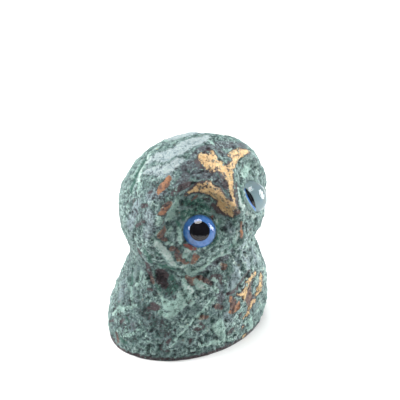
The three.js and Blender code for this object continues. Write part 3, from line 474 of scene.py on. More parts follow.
def head_field(q):
    """The head's field at points in its own axes: an ellipsoid joined with two cheek lenses, the peak and the
    forehead, cut by the two discs, with the bill, the rims and the crest raised on it."""
    depth = HEAD_FRONT + (HEAD_BACK - HEAD_FRONT) * step(q[..., 1], -13, 15)
    f = (np.sqrt((q[..., 0] / HEAD_WIDTH) ** 2 + (q[..., 1] / depth) ** 2 + (q[..., 2] / HEAD_HEIGHT) ** 2) - 1) * 20
    places = [((q - c) @ o, (q - c) @ u, (q - c) @ n) for c, o, u, n in DISCS.values()]
    for out, up, high in places:
        v = np.stack([out / CHEEK[0], (up - DISC_UP) / CHEEK[1], (high + CHEEK_BEHIND) / CHEEK[2]], -1)
        near = length(v)
        f = smooth_min(f, near * (near - 1) / np.maximum(length(v / CHEEK), 1e-6), 3)
    f = smooth_min(f, bar(q, (0, -12.5, 9), (0, -12.5, -8), PEAK_RADIUS, PEAK_RADIUS), 4)
    f = smooth_min(f, bar(q, (0, -12.5, 6), (0, -3.5, 13.5), PEAK_RADIUS, 7), 4)
    rims = 0
    for out, up, high in places:
        floor, rim = disc_relief(out, up)
        f = np.where(high > -6, smooth_max(f, high - floor, 0.8), f)
        rims = rims + rim * step(high, -6, -3)
    f = smooth_min(f, bar(q, BILL_TOP, BILL_TIP, *BILL_RADII), 1.6)
    crest = (CREST_HEIGHT * bump(q[..., 0] / 1.9) * step(q[..., 2], 3, 9) * (1 - step(q[..., 2], 17.5, 21))
             * (1 - step(q[..., 1], -3, 0)))
    return f - rims - crest


def body_field(p):
    """The body's field: an ellipse at each height, of the rows' widths and depths, closed by a soft top."""
    x, y, z = np.moveaxis(p, -1, 0)
    width, front = row(ROW_WIDTH, z), row(ROW_FRONT, z)
    depth = front + (row(ROW_BACK, z) - front) * step(y, -9, 9)
    f = np.hypot((x - row(ROW_LEAN, z)) / np.maximum(width, 4), y / np.maximum(depth, 4)) - 1
    return smooth_max(f * np.minimum(width, depth) * 0.9, z - BODY_TOP, 8)


def owl_field(p):
    """Negative inside the casting and positive outside, near its surface about the distance from it: head and body
    joined, with the hollows under the cheeks, the wing shoulders and edges, and the folds of the breast."""
    x, y, z = np.moveaxis(p, -1, 0)
    f = smooth_min(head_field((p - HEAD_CENTRE) @ HEAD.T), body_field(p), 3)
    m = np.stack([np.abs(x - 0.1), y, z], -1)
    f = f + HOLLOW_DEPTH * mound(m, HOLLOW_AT, HOLLOW_REACH)
    f = f - SHOULDER_HEIGHT * mound(m, SHOULDER_AT, SHOULDER_REACH)
    t = (m - np.array(WING_EDGE)) @ np.array(WING_ACROSS)
    side = step(m[..., 0], 6, 11) * step(z, 1, 6) * (1 - step(z, 17, 23)) * (1 - step(y, -12, 4))
    f = f - side * WING_HEIGHT * (bump(t / 0.9) + 0.6 * step(t, -1.2, 1.2) * bump((t - 1) / 9))
    angle = np.arctan2(x, -y)
    breast = step(z, 20, 27) * (1 - step(z, 33, 39)) * bump((angle - 0.15) / 0.42) * (1 - step(y, -18, -12))
    return f - FOLD_HEIGHT * np.cos(2 * np.pi * (angle * 22 + (z - 30) * 0.55) / FOLD_PITCH) * breast


def field_slope(p):
    """The field and its slope at each point, by small steps along the three axes."""
    f = owl_field(p)
    h = 0.02
    return f, np.stack([owl_field(p + h * axis) - f for axis in np.eye(3)], -1) / h


def settle(p):
    """Moves points near the surface onto it, down the field's slope."""
    f, slope = field_slope(p)
    share = np.clip(f / np.maximum((slope**2).sum(-1), 0.1), -1, 1)
    return p - slope * share[..., None]


def surface_points(origin, direction):
    """Where rays from inside the metal leave it: steps of the distance left, then twelve halvings."""
    inside = np.full(origin.shape[:-1], 2.0)
    outside = np.full(origin.shape[:-1], np.nan)
    while np.isnan(outside).any():
        live = np.isnan(outside)
        f = owl_field(origin[live] + direction[live] * inside[live, None])
        out = outside[live]
        reach = inside[live]
        out[f >= 0] = reach[f >= 0]
        outside[live] = out
        inside[live] = np.where(f < 0, reach + np.clip(-0.8 * f, 0.5, 4), reach)
    inside = outside - 4.0
    for _ in range(12):
        middle = (inside + outside) / 2
        f = owl_field(origin + direction * middle[..., None])
        inside, outside = np.where(f < 0, middle, inside), np.where(f < 0, outside, middle)
    return origin + direction * ((inside + outside) / 2)[..., None]


def lattice(i, j, k, seed):
    """A fixed number from 0 to 1 for each whole-numbered place, by mixing the bits of its coordinates."""
    h = (i * 73856093) ^ (j * 19349663) ^ (k * 83492791) ^ (seed * 2654435761)
    h = (h ^ (h >> 13)) * 1274126177 & 0xFFFFFFFF
    return ((h ^ (h >> 16)) & 0xFFFFFF) / 0xFFFFFF


def noise(p, size, seed=0):
    """Smooth noise from 0 to 1 with lumps of the given size: lattice numbers blended by smooth cubics."""
    q = p / size + 100
    whole = np.floor(q).astype(np.int64)
    t = q - whole
    t = t * t * (3 - 2 * t)
    total = 0
    for corner in range(8):
        bits = np.array([corner & 1, corner >> 1 & 1, corner >> 2 & 1])
        share = np.where(bits, t, 1 - t).prod(-1)
        total = total + share * lattice(*np.moveaxis(whole + bits, -1, 0), seed)
    return total


def line_distance(p, points):
    """How far each point is outside a line through the given points, less the line's reach where it has one."""
    best = np.full(len(p), np.inf)
    points = np.array(points, float)
    for a, b in zip(points[:-1], points[1:]):
        ab = b[:3] - a[:3]
        t = np.clip((p - a[:3]) @ ab / max(ab @ ab, 1e-9), 0, 1)
        d = length(p - a[:3] - t[:, None] * ab)
        if points.shape[1] > 3:
            d = d - (a[3] + (b[3] - a[3]) * t)
        best = np.minimum(best, d)
    return best


def zone_mask(p, softness, lines):
    """One inside a zone's lines, a half at their reach and zero outside, fading over the softness."""
    return np.max([step(-line_distance(p, line), -softness, softness) for line in lines], axis=0)


def casting_relief(p, masks):
    """The casting's own roughness in millimetres: lumps of three sizes, pits where one noise runs high, and the
    marks; the rubbed metal and the crown are smoother."""
    smooth = np.clip(masks["gold"] + masks["copper"] + 0.6 * masks["crown"], 0, 1)
    lumps = 0.34 * (noise(p, 5.0, 1) - 0.5) + 0.42 * (noise(p, 2.3, 2) - 0.5) + 0.4 * (noise(p, 1.1, 3) - 0.5)
    pits = -0.5 * step(noise(p, 1.9, 4) + 0.35 * (noise(p, 0.9, 5) - 0.5), 0.64, 0.84)
    pits = pits - 0.4 * step(noise(p, 1.1, 6), 0.64, 0.86)
    crust = 0.28 * step(noise(p, 2.8, 7) + 0.4 * (noise(p, 0.9, 8) - 0.5), 0.56, 0.7)
    height = (lumps + pits + crust) * (1 - 0.6 * smooth)
    height = height + 0.12 * (masks["gold"] + masks["mint"]) - 0.15 * masks["umber"] - 0.2 * masks["deep"]
    for centre, outward, up, _ in DISCS.values():
        q = (p - HEAD_CENTRE) @ HEAD.T - centre
        out = q @ outward
        height = height + 0.55 * step(-out, 0, 5) * (p[:, 1] < -8) * bump((np.hypot(out, q @ up) - 6.0) / 0.7)
    for mark, half_width, line in MARKS:
        height = height + mark * bump(line_distance(p, line) / half_width)
    return height


def seat_eyes(p):
    """Opens a round socket for each eye: points in a narrow ring round the eye's axis go to the rim, the next ring
    in to the foot of the wall, and those inside to the socket's flat floor. Also tells which points are in one."""
    radius = EYE_RADIUS + SOCKET_GAP
    seated = np.zeros(len(p))
    for centre, outward, up, normal in EYES.values():
        q = (p - HEAD_CENTRE) @ HEAD.T - centre
        out, rise, high = q @ outward, q @ up, q @ normal
        across = np.hypot(out, rise)
        near = (high > -5) & (high < 6) & (across < radius + 3)
        rim = near & (across > radius - 0.2) & (across < radius + 0.3)
        foot = near & (across <= radius - 0.2) & (across > radius - 0.7)
        floor = near & (across <= radius - 0.7)
        scale = np.ones(len(p))
        scale[rim] = radius / across[rim]
        scale[foot] = (radius - 0.02) / across[foot]
        scale[floor] = radius / (radius - 0.7) * 0.995
        depth = high.copy()
        depth[foot | floor] = -EYE_SEAT - SOCKET_GAP
        q = np.outer(out * scale, outward) + np.outer(rise * scale, up) + np.outer(depth, normal)
        seated[foot | floor] = 1
        change = rim | foot | floor
        p[change] = (q[change] + centre) @ HEAD + HEAD_CENTRE
    return p, seated


def casting_rows():
    """The casting as rows of points round it: level rays from the middle up to the brow, then rays that fan up over
    the crown, evened out along the surface so that no row bunches on a steep wall."""
    rows = LEVEL_ROWS + FAN_ROWS
    j = np.arange(rows)[:, None]
    turn = np.arange(COLUMNS)[None, :] / COLUMNS * 2 * np.pi
    angle = turn - 0.32 * np.sin(turn)
    lift = np.maximum(j - LEVEL_ROWS + 1, 0) / (FAN_ROWS + 1) * (np.pi / 2)
    z = FAN_CENTRE[2] * np.minimum(np.maximum(j - 1, 0.15 * j) / (LEVEL_ROWS - 2), 1)
    direction = np.stack([np.sin(angle) * np.cos(lift), -np.cos(angle) * np.cos(lift), np.sin(lift) + 0 * angle], -1)
    origin = np.stack([0 * z + 0 * angle, FAN_CENTRE[1] * step(z, 10, 36) + 0 * angle, z + 0 * angle], -1)
    p = surface_points(origin, direction)
    p[0] -= direction[0] * BASE_INSET
    p[0, :, 2] = 0
    for _ in range(EVENINGS):
        near = (np.roll(p, 1, 1) + np.roll(p, -1, 1))[3:-1] + p[2:-2] + p[4:]
        p[3:-1] = settle(p[3:-1] / 2 + near / 8)
    return p, surface_points(FAN_CENTRE[None], np.array([[0, 0, 1.0]]))[0]


def closed_faces(rows, columns, bottom, top):
    """Quads between neighbouring rows of a closed tube, and a fan of triangles to a point at each end."""
    i = np.arange(columns)
    k = (i + 1) % columns
    j = np.arange(rows - 1)[:, None] * columns
    quads = np.stack([j + i, j + k, j + columns + k, j + columns + i], -1).reshape(-1, 4)
    last = (rows - 1) * columns
    fans = np.concatenate([
        np.stack([np.full(columns, bottom), k, i], -1), np.stack([last + i, last + k, np.full(columns, top)], -1)])
    return quads.tolist() + fans.tolist()


def make_piece(name, points, faces, material, smooth=True):
    """A mesh object at the origin, from points in millimetres, with one material."""
    mesh = bpy.data.meshes.new(name)
    mesh.from_pydata((points * MM).tolist(), [], faces)
    mesh.polygons.foreach_set("use_smooth", np.full(len(mesh.polygons), smooth))
    mesh.update()
    mesh.materials.append(material)
    piece = bpy.data.objects.new(name, mesh)
    bpy.context.scene.collection.objects.link(piece)
    return piece


def add_attribute(piece, name, values):
    """Stores one number for each point of a piece, for its material to read."""
    attribute = piece.data.attributes.new(name, "FLOAT", "POINT")
    attribute.data.foreach_set("value", values.astype(np.float32))


def casting_mesh(material):
    """The whole casting: the evened rows raised by the relief along the surface's slope, the sockets opened, and
    rings of shrinking size across the flat underside."""
    rows, crown = casting_rows()
    foot_share = 1 - np.arange(FOOT_ROWS)[:, None, None] / FOOT_ROWS
    foot_centre = np.array([0, 0.5, 0])
    underside = (rows[0] - foot_centre) * foot_share[::-1] + foot_centre
    skin = np.concatenate([underside[:-1], rows]).reshape(-1, 3)
    points = np.concatenate([skin, [foot_centre, crown]])
    masks = {zone: zone_mask(points, *lines) for zone, lines in ZONES.items()}
    # Painted shade: the foot's edge by the floor takes the dark umber colours.
    masks["umber"] = np.maximum(masks["umber"], 1 - step(points[:, 2], *FOOT_SHADE_BAND))
    _, slope = field_slope(points)
    normal = slope / length(slope)[:, None]
    relief = casting_relief(points, masks)
    fixed = points[:, 2] < 1e-6
    relief[fixed] = 0
    relief *= step(points[:, 2], -0.3, 1.2)
    raised = points + normal * relief[:, None]
    raised[:, 2] = np.maximum(raised[:, 2], 0)
    raised, seated = seat_eyes(raised)
    # Painted light: the socket floors under the glass take the pale mint colours, to brighten what shows through the
    # glass.
    masks["mint"] = np.maximum(masks["mint"], seated)
    count = FOOT_ROWS - 1 + len(rows)
    faces = closed_faces(count, COLUMNS, len(skin), len(skin) + 1)
    piece = make_piece("owl_casting", raised, faces, material)
    grid = relief[:len(skin)].reshape(count, COLUMNS)
    soft = grid.copy()
    for _ in range(6):
        soft = (soft + np.roll(soft, 1, 1) + np.roll(soft, -1, 1) + np.roll(soft, 1, 0) + np.roll(soft, -1, 0)) / 5
    proud = np.concatenate([np.clip((grid - soft).ravel() / 0.3 + 0.5, 0, 1), [0.5, 0.5]])
    for zone, mask in masks.items():
        add_attribute(piece, zone, mask)
    add_attribute(piece, "proud", proud)
    return piece


def revolved(profile, side):
    """A closed solid turned about an eye's axis from (radius, height) pairs, its two end points on the axis."""
    centre, outward, up, normal = EYES[side]
    ring = np.array(profile[1:-1], float)
    turn = np.arange(EYE_COLUMNS) / EYE_COLUMNS * 2 * np.pi
    turn = turn if side == "left" else -turn
    spokes = np.cos(turn)[:, None] * outward + np.sin(turn)[:, None] * up
    points = ring[:, None, :1] * spokes[None] + ring[:, None, 1:] * normal
    ends = np.array([profile[0][1] * normal, profile[-1][1] * normal])
    points = np.concatenate([points.reshape(-1, 3), ends]) + centre
    faces = closed_faces(len(ring), EYE_COLUMNS, len(points) - 2, len(points) - 1)
    return points @ HEAD + HEAD_CENTRE, faces


class Value:
    """A number in a node tree: an expression on it adds the Math nodes that work it out."""

    def __init__(self, graph, socket):
        self.graph = graph
        self.socket = socket

    def math(self, operation, other):
        return self.graph.node("ShaderNodeMath", {0: self, 1: other}, operation=operation)

    def reflected(self, operation, other):
        return self.graph.node("ShaderNodeMath", {0: other, 1: self}, operation=operation)

    def __add__(self, other): return self.math("ADD", other)
    def __radd__(self, other): return self.math("ADD", other)
    def __sub__(self, other): return self.math("SUBTRACT", other)
    def __rsub__(self, other): return self.reflected("SUBTRACT", other)
    def __mul__(self, other): return self.math("MULTIPLY", other)
    def __rmul__(self, other): return self.math("MULTIPLY", other)
    def __truediv__(self, other): return self.math("DIVIDE", other)
    def __rtruediv__(self, other): return self.reflected("DIVIDE", other)

    def between(self, low, high):
        """Zero at low, one at high, and smooth between."""
        return self.graph.node(
            "ShaderNodeMapRange", {0: self, 1: low, 2: high}, interpolation_type="SMOOTHSTEP")

    def clamped(self):
        """Held from zero to one."""
        return self.graph.node("ShaderNodeClamp", {0: self})


class Graph:
    """The nodes of a material or a world, with its one shader."""

    def __init__(self, owner):
        owner.use_nodes = True
        self.owner = owner
        self.tree = owner.node_tree
        self.shader = next(n for n in self.tree.nodes if n.type in ("BSDF_PRINCIPLED", "BACKGROUND"))

    @cached_property
    def place(self):
        """Object coordinates."""
        return self.node("ShaderNodeTexCoord", {}, output="Object")

    def link(self, socket, value):
        """Gives a socket a link from a Value, or a constant."""
        if isinstance(value, Value):
            self.tree.links.new(value.socket, socket)
        elif socket.type == "RGBA":
            socket.default_value = (*value, 1)
        else:
            socket.default_value = value

    def node(self, kind, values, output=0, stops=None, **settings):
        """Adds a node of a kind, sets it up, gives its sockets values or links, and returns one output."""
        made = self.tree.nodes.new(kind)
        for key, value in settings.items():
            setattr(made, key, value)
        if stops:
            elements = made.color_ramp.elements
            while len(elements) < len(stops):
                elements.new(1)
            for element, (at, colour) in zip(elements, stops):
                element.position = at
                element.color = (*colour, 1)
        for key, value in values.items():
            self.link(made.inputs[key], value)
        return Value(self, made.outputs[output])

    def noise(self, size_mm, detail, roughness, place=None):
        """Noise from 0 to 1 whose lumps have about this size in millimetres."""
        return self.node("ShaderNodeTexNoise", {
            "Vector": place or self.place, "Scale": 1 / (size_mm * MM), "Detail": detail, "Roughness": roughness})

    def shifted(self, offset):
        """Object coordinates moved by a fixed offset in metres, so that two noises differ."""
        return self.node("ShaderNodeVectorMath", {0: self.place, 1: offset}, operation="ADD")

    def zone(self, name):
        """The number that a piece stores under a name."""
        return self.node("ShaderNodeAttribute", {}, output="Fac", attribute_name=name)

    def mix(self, share, a, b):
        """Colour a where the share is 0, b where it is 1."""
        return self.node("ShaderNodeMix", {0: share, 6: a, 7: b}, output=2, data_type="RGBA")

    def ramp(self, tone, *colours):
        """Colours spread evenly over a tone from 0 to 1."""
        last = len(colours) - 1
        return self.node(
            "ShaderNodeValToRGB", {0: tone}, stops=[(i / last, colour) for i, colour in enumerate(colours)])

    def finish(self, **sockets):
        """Gives the shader's sockets their values or links and returns the material or world."""
        for name, value in sockets.items():
            self.link(self.shader.inputs[name.replace("_", " ")], value)
        return self.owner


def patina_material(look):
    """Bronze under verdigris: green, grey-blue and slate crusts broken by flecks and pits, and rubbed gold, with
    painted shade and painted light laid on some places.
    """
    g = Graph(bpy.data.materials.new("patinated_bronze"))
    far = g.shifted((0.31, 0.17, 0.53))
    other = g.shifted((0.77, 0.41, 0.23))
    broad = g.noise(9.0, 2, 0.5) - 0.5
    clouds = g.noise(3.0, 4, 0.7, far) - 0.5
    fine = g.noise(1.2, 4, 0.8, other) - 0.5
    grain = g.noise(0.6, 3, 0.8) - 0.5
    hue = g.noise(2.2, 5, 0.85, other) - 0.5
    wander = clouds * 1.3 + fine * 2.0 + grain * 1.4

    def ragged(zone, low=0.38, high=0.62, amount=1.0):
        """A zone's mask with an edge broken up by noise."""
        return (g.zone(zone) + wander * amount).between(low, high)

    busy = g.noise(7.0, 2, 0.5, other).between(0.35, 0.6) * 0.6 + 0.55
    speckle = (fine + grain) * busy * look.contrast
    # Painted light and painted shade: the light zone raises the tone and the shade zone lowers it.
    lift = g.zone("light") * 0.16 - g.zone("shade") * 0.2
    tone = broad * 0.4 + clouds * 0.9 + speckle + g.zone("proud") * 0.3 + lift + 0.33
    quiet = clouds * 0.5 + speckle * 0.85 + g.zone("proud") * 0.24 + lift + 0.36
    pocks = (g.noise(1.4, 6, 0.85, far) - 0.5 + fine * 0.6).between(0.01, 0.07)
    blooms = (g.noise(1.1, 5, 0.85) - 0.5).between(0.07, 0.16)

    green = g.ramp(tone, look.pit, look.deep, look.deep, look.green_dark, look.green, look.mint, look.white)
    blue = g.ramp(tone, look.pit, look.slate, look.blue_dark, look.blue, look.blue, look.crown, look.white)
    crown = g.ramp(quiet, look.slate, look.blue_dark, look.blue, look.crown, look.crown, look.white, look.white)
    slate = g.ramp(tone, look.pit, look.pit, look.slate, look.slate, look.blue_dark, look.blue, look.crown)
    rust = g.ramp(tone, look.pit, look.brown, look.brown, look.rust, look.rust, look.copper, look.mint)
    umber = g.ramp(tone, look.pit, look.pit, look.brown, look.brown, look.slate, look.green_dark, look.mint)
    deep = g.ramp(tone, look.pit, look.deep, look.deep, look.emerald, look.green_dark, look.green, look.mint)
    mint = g.ramp(quiet, look.deep, look.green_dark, look.green, look.mint, look.mint, look.white, look.white)
    pale = g.ramp(quiet, look.green, look.mint, look.white, look.white)

    colour = g.mix((hue * 5 + 0.5).clamped() * 0.6, green, blue)
    colour = g.mix(ragged("blue", 0.3, 0.7, 0.6), colour, blue)
    colour = g.mix(ragged("crown", 0.3, 0.7, 0.5), colour, crown)
    colour = g.mix(ragged("slate", 0.34, 0.66, 0.9) * 0.9, colour, slate)
    # The deep zone: dark green crust in the hollows, and painted shade there too.
    colour = g.mix(ragged("deep", 0.36, 0.64, 0.9) * 0.95, colour, deep)
    colour = g.mix(ragged("umber", amount=0.9), colour, umber)
    colour = g.mix(ragged("rust", amount=0.9) * 0.95, colour, rust)
    colour = g.mix(ragged("mint", amount=0.9) * 0.9, colour, mint)
    colour = g.mix(ragged("pale", amount=0.7) * 0.9, colour, pale)
    colour = g.mix(blooms * 0.35, colour, look.white)
    dapple = (fine * 5 + 0.5).clamped()
    bright = ragged("gold", 0.42, 0.52, 0.8) * (1 - pocks)
    colour = g.mix(ragged("red", amount=0.9), colour, g.mix(dapple, look.rust, look.red))
    colour = g.mix(ragged("gold", 0.06, 0.26, 0.5), colour, umber)
    colour = g.mix(ragged("copper", 0.42, 0.58, 0.9), colour, g.mix(dapple, look.rust, look.copper))
    colour = g.mix(bright, colour, g.mix(dapple, look.gold_dark, look.gold))

    rough = 0.64 + fine * 0.5 - g.zone("crown") * 0.1
    height = grain * 0.8 + fine * 1.2 + clouds * 0.6
    relief = g.node("ShaderNodeBump", {
        "Height": height * (1 - bright * 0.5), "Strength": 1.0, "Distance": 0.0006})
    return g.finish(
        Base_Color=colour, Metallic=bright * 0.5, Roughness=(rough * (1 - bright * 0.35)).clamped(), Normal=relief)


def glass_material():
    """Clear polished glass."""
    g = Graph(bpy.data.materials.new("clear_glass"))
    return g.finish(Base_Color=(0.98, 0.99, 1.0), Roughness=0.0, IOR=1.5, Transmission_Weight=1.0)


def iris_material(blue, light):
    """Blue enamel, a little uneven. It shows no gloss of its own because the glass is fused to it."""
    g = Graph(bpy.data.materials.new("iris_enamel"))
    cloud = g.noise(0.8, 3, 0.5)
    return g.finish(Base_Color=g.mix(cloud.between(0.35, 0.7), blue, light), Roughness=0.5, Specular_IOR_Level=0.1)


def enamel_material(name, colour):
    """Plain matt enamel, as sealed in the glass."""
    g = Graph(bpy.data.materials.new(name))
    return g.finish(Base_Color=colour, Roughness=0.5, Specular_IOR_Level=0.0)


def floor_material(colour):
    """Plain pale paper."""
    g = Graph(bpy.data.materials.new("stage_floor"))
    return g.finish(Base_Color=colour, Roughness=0.9, Specular_IOR_Level=0.1)


def colour_property(name, description, default):
    """A colour that a user may change."""
    return bpy.props.FloatVectorProperty(
        name=name, description=description, default=default, size=3, min=0, max=1, subtype="COLOR")


class OwlBronze(bpy.types.PropertyGroup):
    """The colours of the casting."""

    contrast: bpy.props.FloatProperty(
        name="Speckle", description="How far the fine speckles of the crust part from its mean colour", default=2.1,
        min=0, max=6)
    pit: colour_property("Pits", "The bottom of the pits", (0.014, 0.012, 0.016))
    brown: colour_property("Brown", "The dark, purplish oxide", (0.06, 0.038, 0.042))
    deep: colour_property("Deep green", "The crust in the hollows", (0.014, 0.06, 0.05))
    emerald: colour_property("Emerald", "The brightest green in the hollows", (0.014, 0.13, 0.085))
    green_dark: colour_property("Dark green", "The crust where it is thin", (0.07, 0.145, 0.125))
    green: colour_property("Green", "The common green of the crust", (0.15, 0.25, 0.22))
    mint: colour_property("Mint", "The raised, dry flecks and ridges", (0.29, 0.46, 0.4))
    blue_dark: colour_property("Dark grey-blue", "The darker clouds in the grey-blue", (0.085, 0.13, 0.145))
    blue: colour_property("Grey-blue", "The lighter side of the head", (0.2, 0.28, 0.295))
    crown: colour_property("Crown", "The pale, smooth top of the head", (0.35, 0.42, 0.43))
    white: colour_property("Bloom", "The palest dust on the crust", (0.55, 0.63, 0.61))
    slate: colour_property("Slate", "The dark metal of the forehead", (0.05, 0.052, 0.065))
    rust: colour_property("Rust", "The brown oxide", (0.13, 0.065, 0.045))
    red: colour_property("Red", "The small red patches by the eye", (0.3, 0.05, 0.05))
    copper: colour_property("Copper", "The reddish metal that shows through", (0.36, 0.17, 0.08))
    gold: colour_property("Rubbed metal", "The bright metal of the brows and breast", (0.62, 0.45, 0.23))
    gold_dark: colour_property("Rubbed metal in shade", "Its duller patches", (0.44, 0.29, 0.14))


class OwlEyes(bpy.types.PropertyGroup):
    """The sizes and colours of the eyes."""

    iris_radius: bpy.props.FloatProperty(
        name="Iris radius", description="Widest radius of the blue cone sealed in the glass", default=0.0045,
        min=0.001, max=0.0048, unit="LENGTH")
    pupil_radius: bpy.props.FloatProperty(
        name="Pupil radius", description="Radius of the black disc on top of the cone", default=0.0023,
        min=0.0005, max=0.004, unit="LENGTH")
    blue: colour_property("Iris", "The iris", (0.05, 0.17, 0.5))
    blue_light: colour_property("Light iris", "The iris's lighter clouds", (0.09, 0.26, 0.62))
    black: colour_property("Pupil", "The pupil", (0.004, 0.004, 0.006))
    # Painted light: the pale cup brightens what shows through the glass.
    painted_light_cup: colour_property("Bed", "The pale cup behind the iris and round it", (0.52, 0.68, 0.64))


class OwlStage(bpy.types.PropertyGroup):
    """The floor and the light."""

    floor_colour: colour_property("Floor", "The floor's colour", (0.9, 0.9, 0.9))
    floor_size: bpy.props.FloatProperty(
        name="Floor size", description="Side of the square floor", default=1.6, min=0.5, max=20, unit="LENGTH")
    sky_strength: bpy.props.FloatProperty(
        name="Tent strength", description="Brightness of the white tent behind and beside the owl", default=0.5,
        min=0, max=3)
    front_strength: bpy.props.FloatProperty(
        name="Front strength", description="Brightness of the tent on the camera's side", default=0.12, min=0, max=3)
    top_power: bpy.props.FloatProperty(
        name="Top light", description="Power of the soft light overhead", default=5.0, min=0, max=50, unit="POWER")
    side_power: bpy.props.FloatProperty(
        name="Side light", description="Power of each soft light at the sides", default=6.5, min=0, max=50,
        unit="POWER")


class OWL_OT_casting(bpy.types.Operator):
    """Builds the patinated bronze casting"""

    bl_idname = "owl.casting"
    bl_label = "Casting"

    def execute(self, context):
        piece = casting_mesh(patina_material(context.scene.owl_bronze))
        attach(piece, "root")
        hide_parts("casting")
        return {"FINISHED"}


class OWL_OT_eyes(bpy.types.Operator):
    """Builds the two glass eyes, each with a pale cup of painted light, a blue iris and a black pupil sealed in it
    """

    bl_idname = "owl.eyes"
    bl_label = "Eyes"

    def execute(self, context):
        look = context.scene.owl_eyes
        cone, pupil = look.iris_radius / MM, look.pupil_radius / MM
        arc = np.linspace(0, math.pi / 2, DOME_STEPS + 1)[:-1]
        dome = [(EYE_RADIUS * math.cos(a), EYE_DOME * math.sin(a)) for a in arc]
        inside = CUP_RADIUS - CUP_WALL
        parts = (
            ("eye_glass", glass_material(),
             [(0, -EYE_SEAT), (EYE_RADIUS - 0.3, -EYE_SEAT), (EYE_RADIUS, -EYE_SEAT + 0.3), *dome, (0, EYE_DOME)]),
            # Painted light: a pale cup lines the back and side of the glass, to brighten what shows through it.
            ("painted_light_cup", enamel_material("bed_enamel", look.painted_light_cup),
             [(0, CUP_BACK), (inside, CUP_BACK), (CUP_RADIUS, CUP_BACK + 0.08), (CUP_RADIUS, CUP_RIM - 0.04),
              (CUP_RADIUS - 0.04, CUP_RIM), (inside, CUP_RIM - 0.04), (inside, CUP_BACK + 0.06),
              (0, CUP_BACK + 0.06)]),
            ("iris", iris_material(look.blue, look.blue_light),
             [(0, CONE_BACK), (cone, CONE_BACK), (cone, CONE_EDGE), (pupil + 0.02, CONE_TOP - 0.06),
              (pupil - 0.05, CONE_TOP), (0, CONE_TOP)]),
            ("pupil", enamel_material("pupil_enamel", look.black),
             [(0, PUPIL_BACK), (pupil - 0.1, PUPIL_BACK), (pupil, PUPIL_BACK + 0.03),
              (pupil - 0.05, PUPIL_TOP - 0.02), (0, PUPIL_TOP)]))
        for side in ("right", "left"):
            for name, material, profile in parts:
                piece = make_piece(f"{side}_{name}", *revolved(profile, side), material)
                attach(piece, "root")
                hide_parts(f"{side}_eye")
        return {"FINISHED"}


class OWL_OT_stage(bpy.types.Operator):
    """Lays the floor and sets up the light and the camera"""

    bl_idname = "owl.stage"
    bl_label = "Stage"

    def execute(self, context):
        look = context.scene.owl_stage
        half, drop = look.floor_size / MM / 2, -FLOOR_DROP / MM
        corners = np.array([(-half, -half, drop), (half, -half, drop), (half, half, drop), (-half, half, drop)])
        floor = make_piece("floor", corners, [(0, 1, 2, 3)], floor_material(look.floor_colour), smooth=False)
        context.scene.world = white_tent(look.front_strength, look.sky_strength)
        add_light("top_light", TOP_LIGHT, look.top_power)
        add_light("left_light", LEFT_LIGHT, look.side_power)
        add_light("right_light", RIGHT_LIGHT, look.side_power)
        add_camera(context.scene)
        context.scene.view_settings.view_transform = "Standard"
        return {"FINISHED"}


def white_tent(front, beside):
    """Light from all round, dim on the camera's side. Seen directly or through the glass, it is plain white."""
    g = Graph(bpy.data.worlds.new("even_light"))
    around = g.node("ShaderNodeTexCoord", {}, output="Generated")
    facing = g.node(
        "ShaderNodeVectorMath", {0: around, 1: view_direction()}, output="Value", operation="DOT_PRODUCT")
    tent = g.node("ShaderNodeMapRange", {
        "Value": facing, "From Min": TENT_FRONT, "From Max": TENT_BESIDE, "To Min": front, "To Max": beside})
    seen = g.node("ShaderNodeLightPath", {}, output="Is Camera Ray").math(
        "MAXIMUM", g.node("ShaderNodeLightPath", {}, output="Is Transmission Ray"))
    return g.finish(Color=(1, 1, 1), Strength=g.node("ShaderNodeMapRange", {"Value": seen, "To Min": tent}))


def add_light(name, place, power):
    """A round soft light that looks at the middle of the owl."""
    data = bpy.data.lights.new(name, "AREA")
    data.shape = "DISK"
    data.size = LIGHT_SIZE
    data.energy = power
    light = bpy.data.objects.new(name, data)
    light.location = place
    light.rotation_euler = direction_euler(np.array(LIGHTS_AIM) - place)
    bpy.context.scene.collection.objects.link(light)


def direction_euler(aim):
    """The turn that points an object's -Z axis along a direction, with its Y axis up."""
    return Vector(aim).to_track_quat("-Z", "Y").to_euler()


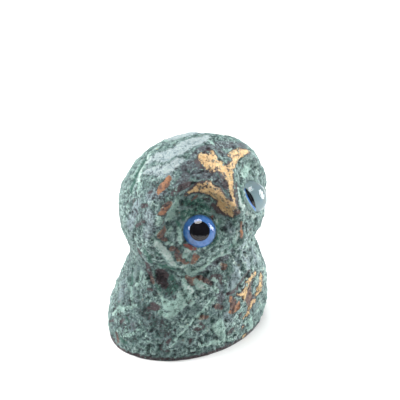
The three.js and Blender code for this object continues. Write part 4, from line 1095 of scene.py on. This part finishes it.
def view_direction():
    """From the owl towards the photograph's camera."""
    level = math.cos(VIEW_ELEVATION)
    return np.array([math.sin(VIEW_AZIMUTH) * level, -math.cos(VIEW_AZIMUTH) * level, math.sin(VIEW_ELEVATION)])


def add_camera(scene):
    """The photograph's view, 0.42 m from the owl's middle."""
    distance = 0.42
    pixels_per_mm, frame_pixels, middle, at = 3.08, 400, np.array([0, 0, 34.0]), (189.98, 230.32)
    back = view_direction()
    right = np.array([math.cos(VIEW_AZIMUTH), math.sin(VIEW_AZIMUTH), 0])
    up = np.cross(back, right)
    half = frame_pixels / 2
    target = middle + right * (half - at[0]) / pixels_per_mm + up * (at[1] - half) / pixels_per_mm
    data = bpy.data.cameras.new("camera")
    data.sensor_width = 36
    data.lens = 36 * pixels_per_mm * distance / MM / frame_pixels
    camera = bpy.data.objects.new("camera", data)
    camera.location = target * MM + back * distance
    camera.rotation_euler = direction_euler(-back)
    scene.collection.objects.link(camera)
    scene.camera = camera


class OWL_PT_panel(bpy.types.Panel):
    """Lists the owl's pieces and what may be changed"""

    bl_label = "Owl statue"
    bl_space_type = "VIEW_3D"
    bl_region_type = "UI"
    bl_category = "Owl"

    def draw(self, context):
        for operator, group in (("owl.casting", "owl_bronze"), ("owl.eyes", "owl_eyes"), ("owl.stage", "owl_stage")):
            self.layout.operator(operator)
            settings = getattr(context.scene, group)
            for name in settings.bl_rna.properties.keys():
                if name not in ("rna_type", "name"):
                    self.layout.prop(settings, name)


GROUPS = {"owl_bronze": OwlBronze, "owl_eyes": OwlEyes, "owl_stage": OwlStage}
CLASSES = (*GROUPS.values(), OWL_OT_casting, OWL_OT_eyes, OWL_OT_stage, OWL_PT_panel)


def register():
    for made in CLASSES:
        bpy.utils.register_class(made)
    for name, group in GROUPS.items():
        setattr(bpy.types.Scene, name, bpy.props.PointerProperty(type=group))


def unregister():
    for name in GROUPS:
        delattr(bpy.types.Scene, name)
    for made in reversed(CLASSES):
        bpy.utils.unregister_class(made)


def main():
    register()
    bpy.ops.owl.casting()
    bpy.ops.owl.eyes()
    bpy.ops.owl.stage()


if __name__ == "__main__":
    main()
